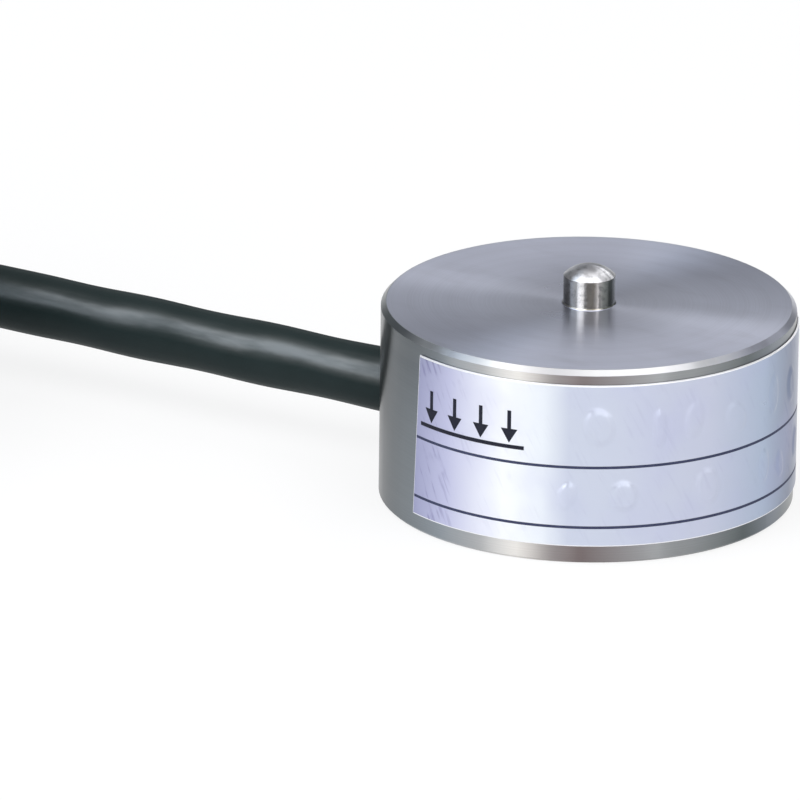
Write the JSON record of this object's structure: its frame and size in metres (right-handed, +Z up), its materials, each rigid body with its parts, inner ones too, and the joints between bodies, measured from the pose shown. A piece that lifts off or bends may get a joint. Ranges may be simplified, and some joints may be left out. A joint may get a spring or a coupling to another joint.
{
  "type": "compression load cell",
  "caption": "Low round steel compression load cell with a domed load button, a wrapped foil nameplate and a thin black cable that ends in a tied coil.",
  "frame": {"origin": "centre of the base, on the plane the cell stands on", "axes": "+Z up along the load axis through the button, -X along the cable as it leaves the body"},
  "size_m": [0.0856, 0.055, 0.0169],
  "materials": {
    "turned_steel": "finely turned stainless steel",
    "cover_steel": "rolled stainless sheet",
    "label_foil": "satin foil",
    "gauge_film": "amber film with foil grid",
    "lead_copper": "bare copper ribbon",
    "board_laminate": "green laminate",
    "resistor_ceramic": "dark chip",
    "insulation_red": "smooth insulation",
    "insulation_white": "smooth insulation",
    "insulation_black": "smooth insulation",
    "insulation_green": "smooth insulation",
    "solder": "bright solder",
    "ferrule_brass": "plain brass",
    "seal_potting": "cured potting",
    "cable_sheath": "satin sheath",
    "tie_plastic": "plain strip",
    "shrink_tube": "shrunk tube",
    "tinned_copper": "tinned strands"
  },
  "bodies": {
    "root": {"sensor_body": "turned_steel", "base_cover": "cover_steel", "nameplate": "label_foil", "strain_gauge_1": "gauge_film", "strain_gauge_2": "gauge_film", "strain_gauge_3": "gauge_film", "strain_gauge_4": "gauge_film", "gauge_leads_1": "lead_copper", "gauge_leads_2": "lead_copper", "gauge_leads_3": "lead_copper", "gauge_leads_4": "lead_copper", "terminal_board": "board_laminate", "span_resistor_1": "resistor_ceramic", "span_resistor_2": "resistor_ceramic", "zero_resistor": "resistor_ceramic", "core_red": "insulation_red", "core_white": "insulation_white", "core_black": "insulation_black", "core_green": "insulation_green", "solder_joints": "solder", "cable_ferrule": "ferrule_brass", "cable_seal": "seal_potting", "cable": "cable_sheath", "cable_coil": "cable_sheath", "cable_end": "cable_sheath", "coil_tie_1": "tie_plastic", "coil_tie_2": "tie_plastic", "end_sleeve": "shrink_tube", "tail_red": "insulation_red", "tail_white": "insulation_white", "tail_black": "insulation_black", "tail_green": "insulation_green", "tail_shield": "tinned_copper", "conductor_ends": "tinned_copper"}
  },
  "joints": []
}
